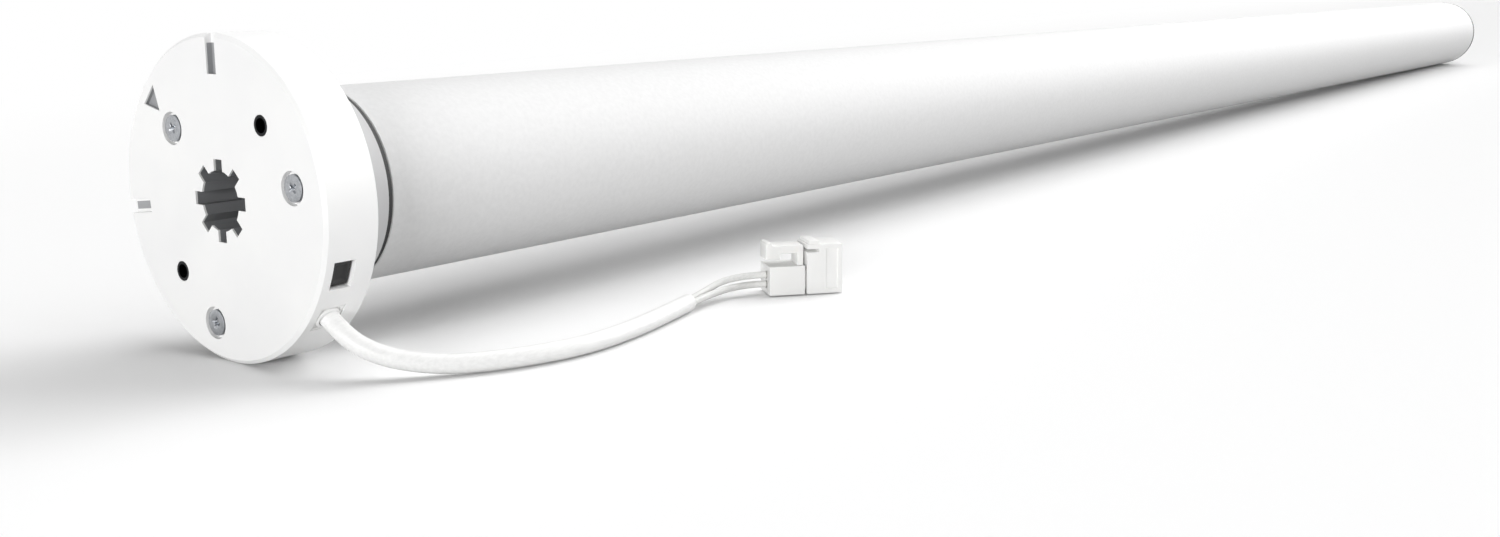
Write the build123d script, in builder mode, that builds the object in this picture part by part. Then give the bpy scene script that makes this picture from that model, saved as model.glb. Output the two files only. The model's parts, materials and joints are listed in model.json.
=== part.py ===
from build123d import *
from math import acos, atan2, cos, degrees, pi, radians, sin, tan
import os

# A battery-powered tubular motor for a roller blind, in millimetres.
# +X runs along the motor from its fixed head to its drive end and +Z is up.
# The origin is the middle of the head's front face, where the wall bracket takes it.

# Head
head_radius = 22.0
head_depth = 8.4
face_thickness = 1.6
flange_thickness = 1.2
skirt_wall = 1.8
lip_depth = 1.3
lip_wall = 1.0
lip_clearance = 0.05
rim_chamfer = 0.5
rear_chamfer = 0.25

# Star socket, a die-cast insert for the bracket's star-shaped pin
star_core_radius = 4.1
star_tip_radius = 5.55
star_notch_width = 1.8
star_notches = 8
socket_depth = 9.0
socket_wall = 2.05
socket_floor = 2.4
well_radius = 2.4
well_depth = 1.0
socket_inset = 0.3
socket_flange_radius = 8.2
socket_flange_thickness = 0.8

# Marks on the face: two rim slots and a pointer
slot_length = 5.3
slot_width = 2.0
slot_depth = 1.0
slot_bearings = (90, -7)
pointer_tip_radius = 16.9
pointer_height = 3.2
pointer_base = 3.6
pointer_depth = 0.7
pointer_bearing = 41.5

# Screws that hold the head's shell to its base
head_screw_bearings = (42, 169, -80)
head_screw_radius_shares = (0.612, 0.727, 0.781)
head_screw_cap_radius = 1.8
head_screw_cap_height = 0.8
head_screw_sink = 0.1
head_screw_ring = 0.45
head_screw_length = 5.6
head_screw_shank_radius = 1.1
post_wall = 1.4
cross_length = 2.0
cross_width = 0.5
cross_depth = 0.45

# Bracket screw holes with threaded steel inserts in them
bracket_bearings = (133, -47)
bracket_circle_radius = 14.5
bracket_hole_radius = 1.4
insert_radius = 2.1
insert_bore_radius = 1.0
insert_length = 4.6
insert_nose_gap = 0.05
insert_wall = 0.9

# Setting button in its recess in the head's side
button_bearing = -158.6
button_place = 3.4
button_length = 3.0
button_width = 3.6
button_gap = 0.2
button_sink = 0.6
button_cap_depth = 1.6
button_corner = 0.8
button_rim = 0.5
button_rim_depth = 0.8
button_stem_radius = 0.8
button_stem_length = 1.5
switch_length = 3.2
switch_width = 4.2
switch_depth = 2.6
switch_gap = 0.7
switch_bore_clearance = 0.15
switch_bore_depth = 1.7
switch_back_wall = 1.2

# Cable and the grommet it leaves the head through
cable_bearing = -140
cable_place = 3.5
cable_radius = 1.35
grommet_length = 3.7
grommet_width = 4.2
grommet_lip = 0.5
grommet_lip_depth = 1.0
grommet_reach = 18.6
grommet_sink = 0.12
grommet_clearance = 0.04
wire_radius = 0.55
wire_spacing = 1.3
passage_clearance = 0.25

# The cable's line, from inside the grommet down to the surface the motor lies on
cable_route = [
    (3.5, -14.248, -11.956),
    (3.5, -18.845, -15.813),
    (6.4, -23.0, -18.9),
    (12.2, -28.4, -20.45),
    (20.5, -33.6, -20.35),
    (31.0, -36.4, -20.25),
    (42.0, -35.4, -20.12),
    (52.0, -33.2, -19.99),
    (58.8, -31.4, -19.93),
]
upper_wire_route = [
    (58.634, -30.772, -19.93),
    (64.048, -29.339, -19.882),
    (71.097, -29.704, -18.05),
    (75.777, -33.46, -18.05),
]
lower_wire_route = [
    (58.966, -32.028, -19.93),
    (63.413, -30.851, -19.891),
    (72.267, -30.643, -19.55),
    (75.777, -33.46, -19.55),
]
bend_share = 0.45

# Two-pole connector on the cable's end
connector_centre = (75.777, -33.46)
connector_bottom = -20.95
connector_turn = -38.75
connector_width = 6.0
connector_length = 12.0
plug_length = 5.8
plug_height = 4.6
plug_edge = 0.4
collar_height = 8.0
collar_wall = 0.8
collar_gap = 0.35
collar_lip_length = 2.4
collar_lip_width = 2.6
collar_lip_height = 0.5
latch_width = 3.8
latch_thickness = 1.3
latch_root = 1.0
latch_gap = 1.9
latch_overhang = 0.4
latch_rib = 0.5
pole_heights = (1.4, 2.9)
contact_size = 0.9
contact_mouth = 0.7
contact_inset = 0.5

# Crown ring, which the roller tube's end sits on
crown_radius = 14.3
crown_width = 7.9
crown_head_gap = 0.2
crown_washer_gap = 0.2
crown_washer_thickness = 0.6
crown_washer_radius = 13.9
crown_clearance = 0.08
crown_chamfer = 0.2
crown_key_width = 2.4
crown_key_depth = 0.6
crown_key_bearing = 45

# Motor tube and the neck that plugs into it
tube_radius = 14.0
tube_wall = 0.9
tube_edge = 0.2
spigot_clearance = 0.05
spigot_length = 18.0
neck_wall = 2.4
tube_screw_inset = 9.0
tube_screw_head_radius = 2.0
tube_screw_head_height = 0.8
tube_screw_shank_radius = 1.1
tube_screw_length = 3.0
head_end_bearings = (30, -60)
drive_end_bearings = (60, -60)

# Control board and the tray that carries it
tray_gap = 7.1
tray_length = 141.4
tray_wall = 1.0
tray_collar = 4.0
tray_edge_height = 1.0
ledge_width = 1.6
ledge_height = 1.2
board_thickness = 1.0
board_drop = 2.2
board_inset = 3.0
board_side_gap = 0.3
radio_length = 18.0
radio_width = 13.0
radio_height = 2.6
radio_share = 0.3
capacitor_radius = 4.0
capacitor_length = 12.0
capacitor_share = 0.62
driver_length = 5.0
driver_width = 4.0
driver_height = 1.6
driver_shares = (0.45, 0.52)
terminal_length = 8.0
supply_terminal_width = 2.6
supply_terminal_depth = 4.2
rear_terminal_width = 7.6
rear_terminal_height = 3.1
lead_radius = 0.55
lead_bend = 2.2
lead_straight = 3.0
lead_spacing = 1.5
lead_height = 9.85

# Battery cells in their cradle
cell_count = 4
cell_radius = 9.1
cell_length = 65.0
cell_edge = 0.8
button_pole_radius = 3.0
button_pole_height = 0.8
cell_side_gap = 0.1
cradle_gap = 10.0
cradle_stop = 2.0
cradle_tail = 40.0
cradle_opening = 110
stop_bore_radius = 4.5
protection_thickness = 1.0

# Motor
end_bell_gap = 10.0
end_bell_flange = 4.0
end_bell_plug = 3.0
can_length = 66.0
can_radius = 12.1
can_wall = 0.8
can_front = 1.2
boss_radius = 3.4
boss_height = 1.5
bush_radius = 2.4
bush_length = 3.0
shaft_radius = 1.0
shaft_clearance = 0.05
magnet_inner_radius = 9.2
magnet_margin = 10.0
magnet_gap_width = 9.0
core_radius = 8.8
core_length = 32.0
core_slots = 5
core_slot_width = 1.8
core_slot_depth = 4.0
core_hub_radius = 3.2
winding_radius = 7.8
winding_length = 4.0
commutator_radius = 2.8
commutator_gap = 2.0
commutator_bars = 10
commutator_slit_width = 0.3
commutator_slit_depth = 0.3
brush_width = 3.0
brush_length = 4.0
brush_gap = 0.05
brush_reach = 7.6
holder_wall = 1.0
encoder_board_radius = 12.4
encoder_board_thickness = 1.0
encoder_hole_radius = 2.0
encoder_gap = 0.6
encoder_magnet_radius = 3.8
encoder_magnet_length = 2.4
notch_margin = 0.6
motor_screw_bearings = (0, 180)
motor_screw_circle_radius = 8.0
motor_screw_head_radius = 1.7
motor_screw_head_height = 1.2
motor_screw_shank_radius = 0.9

# Holding brake, a magnet ring round a toothed steel rotor
gearbox_plate_thickness = 2.4
brake_gap = 1.0
brake_length = 7.0
brake_ring_inner_radius = 8.6
brake_air_gap = 0.4
brake_poles = 8
brake_notch_depth = 1.2
brake_notch_width = 2.2

# Three planetary stages in one toothed housing
tooth_module = 0.5
pressure_angle = radians(25)
sun_teeth = 12
planet_teeth = 15
ring_teeth = 42
addendum = 0.4
dedendum = 0.55
backlash = 0.03
planet_count = 3
planet_widths = (7.0, 10.0, 15.0)
carrier_plates = (2.4, 3.0, 4.6)
carrier_radius = 9.5
stage_gap = 0.4
pin_radius = 1.2
pin_clearance = 0.05

# Output shaft and the end cap that carries it
end_cap_length = 20.0
end_cap_flange = 2.0
end_cap_edge = 0.4
output_radius = 4.0
output_reach = 18.0
output_flat_length = 14.0
output_flat_depth = 0.8
output_chamfer = 0.5
output_clearance = 0.05
output_bush_radius = 7.0
end_cap_screw_depth = 8.8
output_screw_radius = 1.25
output_screw_depth = 10.0
clip_thickness = 0.8
clip_radius = 5.6
clip_groove = 0.4
clip_gap = 0.2
clip_opening = 40

overrun = 1.0
full_turn = 360
printed_places = 5

# Places along the motor, worked out from the sizes above
skirt_end = head_depth - flange_thickness
skirt_bore = head_radius - skirt_wall
socket_radius = star_tip_radius + socket_wall
socket_end = socket_depth + socket_floor
crown_start = head_depth + crown_head_gap
crown_end = crown_start + crown_width
washer_start = crown_end + crown_washer_gap
tube_start = washer_start + crown_washer_thickness
tube_bore = tube_radius - tube_wall
neck_radius = tube_bore - spigot_clearance
neck_bore = neck_radius - neck_wall
neck_end = tube_start + spigot_length
tray_start = neck_end + tray_gap
tray_end = tray_start + tray_length
board_start = tray_start + board_inset
board_end = tray_end - board_inset
cradle_start = tray_end + cradle_gap
cell_start = cradle_start + cradle_stop + protection_thickness
cells_end = cell_start + cell_count * cell_length
cradle_end = cells_end + cradle_stop + cradle_tail
end_bell_start = cradle_end + end_bell_gap
can_start = end_bell_start + end_bell_flange
can_end = can_start + can_length
can_bore = can_radius - can_wall
brake_start = can_end + gearbox_plate_thickness + brake_gap
brake_end = brake_start + brake_length
planet_distance = tooth_module * (sun_teeth + planet_teeth) / 2
ring_tip = tooth_module * ring_teeth / 2 - addendum
ring_root = tooth_module * ring_teeth / 2 + dedendum
brake_bore = ring_root + (neck_radius - ring_root) / 3

planet_starts = []
plate_starts = []
stage_place = brake_end + stage_gap
for planet_width, plate_width in zip(planet_widths, carrier_plates):
    planet_starts.append(stage_place)
    plate_starts.append(stage_place + planet_width + stage_gap)
    stage_place = plate_starts[-1] + plate_width + stage_gap
housing_end = stage_place
end_cap_start = housing_end
tube_end = end_cap_start + end_cap_length - end_cap_flange
motor_end = end_cap_start + end_cap_length


def across(along, turn=0):
    """A plane square to the motor, with its x turned from +Y towards +Z."""
    return Plane(origin=(along, 0, 0), x_dir=(0, cos(radians(turn)), sin(radians(turn))), z_dir=(1, 0, 0))


def outward(along, bearing, distance):
    """A plane that faces away from the axis at a bearing, with its x along the motor."""
    side, height = cos(radians(bearing)), sin(radians(bearing))
    return Plane(origin=(along, distance * side, distance * height), x_dir=(1, 0, 0), z_dir=(0, side, height))


def ring(start, end, outer, inner=0, mode=Mode.ADD):
    """A disc or ring round the axis, added to the sub-part being made."""
    with BuildSketch(across(start)) as profile:
        Circle(outer)
        if inner:
            Circle(inner, mode=Mode.SUBTRACT)
    extrude(profile.sketch, amount=end - start, mode=mode)


def rod(start, end, bearing, distance, radius, mode=Mode.ADD):
    """A round bar or hole beside the axis."""
    with BuildSketch(across(start, bearing)) as profile:
        with Locations((distance, 0)):
            Circle(radius)
    extrude(profile.sketch, amount=end - start, mode=mode)


def block(start, end, side, height, width, depth, mode=Mode.ADD):
    """A rectangular bar along the motor, by its middle and its size across."""
    with BuildSketch(across(start)) as profile:
        with Locations((side, height)):
            Rectangle(width, depth)
    extrude(profile.sketch, amount=end - start, mode=mode)


def spoke(along, bearing, start, end, radius, mode=Mode.ADD):
    """A round bar or hole that points away from the axis."""
    with BuildSketch(outward(along, bearing, start)) as profile:
        Circle(radius)
    extrude(profile.sketch, amount=end - start, mode=mode)


def spoke_block(along, bearing, start, end, length, width, mode=Mode.ADD):
    """A rectangular bar or hole that points away from the axis."""
    with BuildSketch(outward(along, bearing, start)) as profile:
        Rectangle(length, width)
    extrude(profile.sketch, amount=end - start, mode=mode)


def star(start, end, mode):
    """The star socket's outline: a round core with square notches round it."""
    with BuildSketch(across(start)) as profile:
        Circle(star_core_radius)
        with PolarLocations(0, star_notches):
            with Locations((star_tip_radius / 2, 0)):
                Rectangle(star_tip_radius, star_notch_width)
    extrude(profile.sketch, amount=end - start, mode=mode)


def screw(top, cap_radius, cap_height, shank_radius, length):
    """A cross-recessed screw, whose head is flush with a plane that faces its driver."""
    with BuildSketch(top) as cap:
        Circle(cap_radius)
    extrude(cap.sketch, amount=-cap_height)
    with BuildSketch(top.offset(-cap_height)) as shank:
        Circle(shank_radius)
    extrude(shank.sketch, amount=cap_height - length)
    with BuildSketch(top) as cross:
        Rectangle(cross_length, cross_width)
        Rectangle(cross_width, cross_length)
    extrude(cross.sketch, amount=-cross_depth, mode=Mode.SUBTRACT)


def bends(route):
    """The largest tangent arc that each corner of a route has room for."""
    points = [Vector(*point) for point in route]
    radii = []
    for before, corner, after in zip(points, points[1:], points[2:]):
        arriving, leaving = corner - before, after - corner
        half_turn = radians(arriving.get_angle(leaving)) / 2
        radii.append(bend_share * min(arriving.length, leaving.length) / tan(half_turn))
    return radii


def tube_along(route, radius, name):
    """A round cord along a route, which prints its bends and how true its volume is."""
    radii = bends(route)
    with BuildPart() as made:
        with BuildLine():
            path = FilletPolyline(*route, radius=radii)
        with BuildSketch(Plane(origin=path @ 0, z_dir=path % 0)) as section:
            Circle(radius)
        sweep(section.sketch, path=path)
    length = path.length
    print(name, "length", round(length, 2), "bend radii", [round(bend, 1) for bend in radii])
    volume_share = made.part.volume / (pi * radius**2 * length)
    print(name, "volume over section times length", round(volume_share, printed_places))
    return made


def bent_lead(route):
    """A lead inside the motor, added to the sub-part being made."""
    with BuildLine():
        path = FilletPolyline(*route, radius=lead_bend)
    with BuildSketch(Plane(origin=path @ 0, z_dir=path % 0)) as section:
        Circle(lead_radius)
    sweep(section.sketch, path=path)


def involute(angle):
    """The involute function of an angle."""
    return tan(angle) - angle


def polar(radius, angle):
    """A sketch point by radius and angle."""
    return (radius * cos(angle), radius * sin(angle))


def toothed(plane, teeth, low, high, slack):
    """A gear's outline with a tooth on the plane's x, which a positive slack widens at the pitch circle."""
    pitch_radius = tooth_module * teeth / 2
    base_radius = pitch_radius * cos(pressure_angle)
    flank_start = max(low, base_radius)

    def half(radius):
        at_pitch = pi / (2 * teeth) + slack / (2 * pitch_radius)
        return at_pitch + involute(pressure_angle) - involute(acos(base_radius / radius))

    radii = (flank_start, (flank_start + high) / 2, high)
    step = 2 * pi / teeth
    foot = half(flank_start)
    with BuildSketch(plane) as profile:
        with BuildLine():
            for tooth in range(teeth):
                middle = tooth * step
                if low < flank_start:
                    Line(polar(low, middle - foot), polar(flank_start, middle - foot))
                ThreePointArc(*[polar(radius, middle - half(radius)) for radius in radii])
                ThreePointArc(*[polar(high, middle + turn * half(high)) for turn in (-1, 0, 1)])
                ThreePointArc(*[polar(radius, middle + half(radius)) for radius in reversed(radii)])
                if low < flank_start:
                    Line(polar(flank_start, middle + foot), polar(low, middle + foot))
                ThreePointArc(*[polar(low, middle + turn) for turn in (foot, step / 2, step - foot)])
        make_face()
    return profile.sketch


def finish(made, name):
    """Labels a finished piece and writes it."""
    made.part.label = name
    export_step(made.part, f"parts/{name}.step")


os.makedirs("parts", exist_ok=True)

# Head shell: the round face with its skirt
head_screw_radii = [share * head_radius for share in head_screw_radius_shares]
head_screw_places = list(zip(head_screw_bearings, head_screw_radii))

with BuildPart() as head_shell:
    ring(0, skirt_end, head_radius)
    front_rim = head_shell.edges().group_by(Axis.X)[0]
    chamfer(front_rim, rim_chamfer)
    ring(face_thickness, skirt_end, skirt_bore, mode=Mode.SUBTRACT)
    ring(socket_inset, face_thickness, socket_radius, mode=Mode.SUBTRACT)
    star(0, socket_inset, Mode.SUBTRACT)
    for bearing in slot_bearings:
        with BuildSketch(across(0, bearing)) as slot:
            with Locations((head_radius + overrun - (slot_length + overrun) / 2, 0)):
                Rectangle(slot_length + overrun, slot_width)
        extrude(slot.sketch, amount=slot_depth, mode=Mode.SUBTRACT)
    with BuildSketch(across(0, pointer_bearing)) as pointer:
        with BuildLine():
            Polyline(
                (pointer_tip_radius, 0),
                (pointer_tip_radius + pointer_height, pointer_base / 2),
                (pointer_tip_radius + pointer_height, -pointer_base / 2),
                close=True,
            )
        make_face()
    extrude(pointer.sketch, amount=pointer_depth, mode=Mode.SUBTRACT)
    cap_pocket = head_screw_sink + head_screw_cap_height
    for bearing, distance in head_screw_places:
        rod(0, cap_pocket, bearing, distance, head_screw_cap_radius + head_screw_ring, Mode.SUBTRACT)
        rod(cap_pocket, face_thickness, bearing, distance, head_screw_shank_radius, Mode.SUBTRACT)
    for bearing in bracket_bearings:
        rod(0, face_thickness, bearing, bracket_circle_radius, bracket_hole_radius, Mode.SUBTRACT)
    button_opening_length = button_length + 2 * button_gap
    button_opening_width = button_width + 2 * button_gap
    spoke_block(
        button_place,
        button_bearing,
        skirt_bore - overrun,
        head_radius + overrun,
        button_opening_length,
        button_opening_width,
        Mode.SUBTRACT,
    )
    spoke_block(
        cable_place,
        cable_bearing,
        skirt_bore - overrun,
        head_radius + overrun,
        grommet_length + 2 * grommet_clearance,
        grommet_width + 2 * grommet_clearance,
        Mode.SUBTRACT,
    )
finish(head_shell, "head_shell")

# Head base: the back flange with the screw posts and the neck that goes into the tube
post_radius = head_screw_shank_radius + post_wall
insert_boss_radius = insert_radius + insert_wall
insert_end = face_thickness + insert_length
insert_nose_radius = bracket_hole_radius - insert_nose_gap
button_rim_top = head_radius - button_sink - button_cap_depth
switch_top = button_rim_top - button_rim_depth - switch_gap
switch_base = switch_top - switch_depth
switch_back = button_place + switch_length / 2
lead_distance = (socket_radius + neck_bore) / 2
tube_screw_places = [(tube_start + tube_screw_inset, bearing) for bearing in head_end_bearings]
tube_screw_places += [(tube_end - tube_screw_inset, bearing) for bearing in drive_end_bearings]

with BuildPart() as head_base:
    ring(skirt_end, head_depth, head_radius)
    chamfer(head_base.edges().group_by(Axis.X)[-1], rear_chamfer)
    lip_radius = skirt_bore - lip_clearance
    ring(skirt_end - lip_depth, skirt_end, lip_radius, lip_radius - lip_wall)
    ring(head_depth, neck_end, neck_radius, neck_bore)
    ring(skirt_end, head_depth, socket_radius, mode=Mode.SUBTRACT)
    for bearing, distance in head_screw_places:
        rod(face_thickness, skirt_end, bearing, distance, post_radius)
        rod(face_thickness, skirt_end, bearing, distance, head_screw_shank_radius, Mode.SUBTRACT)
    for bearing in bracket_bearings:
        rod(face_thickness, skirt_end, bearing, bracket_circle_radius, insert_boss_radius)
        rod(face_thickness, insert_end, bearing, bracket_circle_radius, insert_radius, Mode.SUBTRACT)
    spoke_block(
        (switch_back + skirt_end) / 2,
        button_bearing,
        switch_base,
        switch_top,
        skirt_end - switch_back,
        switch_width,
    )
    spoke_block(
        (button_place - switch_length / 2 + skirt_end) / 2,
        button_bearing,
        switch_base - switch_back_wall,
        switch_base,
        skirt_end - button_place + switch_length / 2,
        switch_width,
    )
    with BuildSketch(across(skirt_end, cable_bearing)) as passage:
        with Locations((lead_distance, 0)):
            Rectangle(
                2 * (lead_radius + passage_clearance),
                wire_spacing + 2 * (lead_radius + passage_clearance),
            )
    extrude(passage.sketch, amount=flange_thickness, mode=Mode.SUBTRACT)
    for along, bearing in tube_screw_places[: len(head_end_bearings)]:
        hole_start = neck_bore - overrun
        spoke(along, bearing, hole_start, neck_radius + overrun, tube_screw_shank_radius, Mode.SUBTRACT)
finish(head_base, "head_base")

# Socket insert, held between the shell's face and the base's flange
with BuildPart() as socket_insert:
    ring(socket_inset, socket_end, socket_radius)
    ring(skirt_end - socket_flange_thickness, skirt_end, socket_flange_radius)
    star(socket_inset, socket_depth, Mode.SUBTRACT)
    ring(socket_depth, socket_depth + well_depth, well_radius, mode=Mode.SUBTRACT)
finish(socket_insert, "socket_insert")

with BuildPart() as head_screws:
    for bearing, distance in head_screw_places:
        seat = across(head_screw_sink, bearing)
        top = Plane(origin=seat.from_local_coords((distance, 0, 0)), x_dir=seat.x_dir, z_dir=(-1, 0, 0))
        screw(top, head_screw_cap_radius, head_screw_cap_height, head_screw_shank_radius, head_screw_length)
finish(head_screws, "head_screws")

with BuildPart() as bracket_inserts:
    for bearing in bracket_bearings:
        rod(face_thickness, insert_end, bearing, bracket_circle_radius, insert_radius)
        rod(0, face_thickness, bearing, bracket_circle_radius, insert_nose_radius)
        rod(0, insert_end, bearing, bracket_circle_radius, insert_bore_radius, Mode.SUBTRACT)
finish(bracket_inserts, "bracket_inserts")

# Setting button, which slides towards the axis and presses its switch
with BuildPart() as setting_button:
    with BuildSketch(outward(button_place, button_bearing, button_rim_top)) as cap:
        RectangleRounded(button_length, button_width, button_corner)
    extrude(cap.sketch, amount=button_cap_depth)
    rim_base = button_rim_top - button_rim_depth
    spoke_block(
        button_place,
        button_bearing,
        rim_base,
        button_rim_top,
        button_length,
        button_opening_width + 2 * button_rim,
    )
    spoke(button_place, button_bearing, rim_base - button_stem_length, rim_base, button_stem_radius)
finish(setting_button, "setting_button")

with BuildPart() as button_switch:
    spoke_block(button_place, button_bearing, switch_base, switch_top, switch_length, switch_width)
    spoke(
        button_place,
        button_bearing,
        switch_top - switch_bore_depth,
        switch_top,
        button_stem_radius + switch_bore_clearance,
        Mode.SUBTRACT,
    )
finish(button_switch, "button_switch")

# Grommet that holds the cable in the head's side
grommet_end = head_radius - grommet_sink
with BuildPart() as cable_grommet:
    spoke_block(cable_place, cable_bearing, grommet_reach, grommet_end, grommet_length, grommet_width)
    spoke_block(
        cable_place,
        cable_bearing,
        grommet_reach,
        grommet_reach + grommet_lip_depth,
        grommet_length,
        grommet_width + 2 * grommet_lip,
    )
    spoke(cable_place, cable_bearing, grommet_reach, grommet_end, cable_radius, Mode.SUBTRACT)
finish(cable_grommet, "cable_grommet")

# Cable outside the head, and the two wires that come out of its end
power_cable = tube_along(cable_route, cable_radius, "power_cable")
finish(power_cable, "power_cable")
upper_wire = tube_along(upper_wire_route, wire_radius, "upper wire")
lower_wire = tube_along(lower_wire_route, wire_radius, "lower wire")
with BuildPart() as connector_wires:
    add(upper_wire.part)
    add(lower_wire.part)
finish(connector_wires, "connector_wires")

# Connector: the plug with its latch, the collar over its nose and two contacts
connector_base = Plane(
    origin=(*connector_centre, connector_bottom),
    x_dir=(cos(radians(connector_turn)), sin(radians(connector_turn)), 0),
    z_dir=(0, 0, 1),
)


def connector_block(start, end, low, high, width, mode=Mode.ADD):
    """A rectangular piece of the connector, measured from its wire end and its foot."""
    with BuildSketch(connector_base.offset(low)) as profile:
        with Locations(((start + end) / 2, 0)):
            Rectangle(end - start, width)
    extrude(profile.sketch, amount=high - low, mode=mode)


nose_width = connector_width - 2 * collar_wall
nose_end = connector_length - collar_wall
latch_low = plug_height + latch_gap
latch_high = latch_low + latch_thickness

with BuildPart() as connector_plug:
    connector_block(0, plug_length, 0, plug_height, connector_width)
    long_edges = connector_plug.edges().filter_by(Axis.Z)
    chamfer(long_edges, plug_edge)
    connector_block(plug_length - plug_edge, nose_end, collar_wall, plug_height - collar_wall, nose_width)
    connector_block(plug_length - latch_root, plug_length, plug_height, latch_high, latch_width)
    connector_block(-latch_overhang, plug_length, latch_low, latch_high, latch_width)
    connector_block(-latch_overhang, latch_rib, latch_high, latch_high + latch_rib, latch_width)
    for height in pole_heights:
        low = height - contact_size / 2
        connector_block(0, nose_end, low, low + contact_size, contact_size, Mode.SUBTRACT)
finish(connector_plug, "connector_plug")

with BuildPart() as connector_collar:
    collar_start = plug_length + collar_gap
    connector_block(collar_start, connector_length, 0, collar_height, connector_width)
    connector_block(collar_start, nose_end, collar_wall, plug_height - collar_wall, nose_width, Mode.SUBTRACT)
    connector_block(
        collar_start,
        collar_start + collar_lip_length,
        collar_height,
        collar_height + collar_lip_height,
        collar_lip_width,
    )
    for height in pole_heights:
        low = height - contact_mouth / 2
        connector_block(nose_end, connector_length, low, low + contact_mouth, contact_mouth, Mode.SUBTRACT)
finish(connector_collar, "connector_collar")

with BuildPart() as connector_contacts:
    for height in pole_heights:
        low = height - contact_size / 2
        connector_block(0, nose_end - contact_inset, low, low + contact_size, contact_size)
finish(connector_contacts, "connector_contacts")

# Crown ring, free to turn on the neck
with BuildPart() as crown_ring:
    ring(crown_start, crown_end, crown_radius, neck_radius + crown_clearance)
    outer_rims = crown_ring.edges().filter_by(GeomType.CIRCLE).sort_by(Axis.X)[-2:]
    chamfer(outer_rims.sort_by(SortBy.RADIUS)[-1], crown_chamfer)
    spoke_block(
        (crown_start + crown_end) / 2,
        crown_key_bearing,
        crown_radius - crown_key_depth,
        crown_radius + overrun,
        crown_width + overrun,
        crown_key_width,
        Mode.SUBTRACT,
    )
finish(crown_ring, "crown_ring")

# Washer that keeps the crown ring off the tube's end
with BuildPart() as crown_washer:
    ring(washer_start, tube_start, crown_washer_radius, neck_radius)
finish(crown_washer, "crown_washer")

# Motor tube and the countersunk screws at its two ends
with BuildPart() as motor_tube:
    ring(tube_start, tube_end, tube_radius, tube_bore)
    rims = motor_tube.edges().filter_by(GeomType.CIRCLE).sort_by(SortBy.RADIUS)[-2:]
    chamfer(rims, tube_edge)
    for along, bearing in tube_screw_places:
        spoke(
            along,
            bearing,
            tube_bore - overrun,
            tube_radius + overrun,
            tube_screw_head_radius,
            Mode.SUBTRACT,
        )
finish(motor_tube, "motor_tube")

with BuildPart() as tube_screws:
    for along, bearing in tube_screw_places:
        screw(
            outward(along, bearing, neck_radius + tube_screw_head_height),
            tube_screw_head_radius,
            tube_screw_head_height,
            tube_screw_shank_radius,
            tube_screw_length,
        )
finish(tube_screws, "tube_screws")

# Tray for the control board: a trough with a full collar at each end
tray_bore = tube_bore - tray_wall
board_top = -board_drop
board_bottom = board_top - board_thickness
ledge_side = (tray_bore**2 - board_bottom**2) ** 0.5
board_half_width = (tray_bore**2 - board_bottom**2) ** 0.5 - board_side_gap

with BuildPart() as board_tray:
    ring(tray_start, tray_end, tube_bore, tray_bore)
    block(
        tray_start + tray_collar,
        tray_end - tray_collar,
        0,
        (tube_bore + overrun + board_top + tray_edge_height) / 2,
        2 * (tube_bore + overrun),
        tube_bore + overrun - board_top - tray_edge_height,
        Mode.SUBTRACT,
    )
    for side in (-1, 1):
        block(
            board_start,
            board_end,
            side * (ledge_side - ledge_width / 2),
            board_bottom - ledge_height / 2,
            ledge_width,
            ledge_height,
        )
finish(board_tray, "board_tray")

with BuildPart() as control_board:
    block(board_start, board_end, 0, (board_top + board_bottom) / 2, 2 * board_half_width, board_thickness)
finish(control_board, "control_board")

# What stands on the control board: radio can, capacitor, driver chips and a terminal block at each end
board_length = board_end - board_start
lead_side = lead_distance * cos(radians(cable_bearing))
lead_level = lead_distance * sin(radians(cable_bearing))
with BuildPart() as board_components:
    radio_start = board_start + radio_share * board_length
    block(radio_start, radio_start + radio_length, 0, board_top + radio_height / 2, radio_width, radio_height)
    capacitor_start = board_start + capacitor_share * board_length
    with BuildSketch(across(capacitor_start)) as capacitor:
        with Locations((0, board_top + capacitor_radius)):
            Circle(capacitor_radius)
    extrude(capacitor.sketch, amount=capacitor_length)
    for share in driver_shares:
        driver_start = board_start + share * board_length
        block(
            driver_start,
            driver_start + driver_length,
            0,
            board_top + driver_height / 2,
            driver_width,
            driver_height,
        )
    block(
        board_start,
        board_start + terminal_length,
        lead_side,
        board_bottom - supply_terminal_depth / 2,
        supply_terminal_width,
        supply_terminal_depth,
    )
    block(
        board_end - terminal_length,
        board_end,
        0,
        board_top + rear_terminal_height / 2,
        rear_terminal_width,
        rear_terminal_height,
    )
finish(board_components, "board_components")

# Supply leads: from the cable's inner end through the flange to the board
with BuildPart() as supply_leads:
    cable_side = (-sin(radians(cable_bearing)), cos(radians(cable_bearing)))
    inner_reach = (cable_route[0][1] ** 2 + cable_route[0][2] ** 2) ** 0.5
    for hand in (-1, 1):
        offset_side = hand * wire_spacing / 2 * cable_side[0]
        offset_height = hand * wire_spacing / 2 * cable_side[1]
        corner_side = lead_side + offset_side
        corner_height = lead_level + offset_height
        start_side = inner_reach * cos(radians(cable_bearing)) + offset_side
        start_height = inner_reach * sin(radians(cable_bearing)) + offset_height
        lead_route = [
            (cable_place, start_side, start_height),
            (cable_place, corner_side, corner_height),
            (board_start, corner_side, corner_height),
        ]
        bent_lead(lead_route)
finish(supply_leads, "supply_leads")

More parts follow.
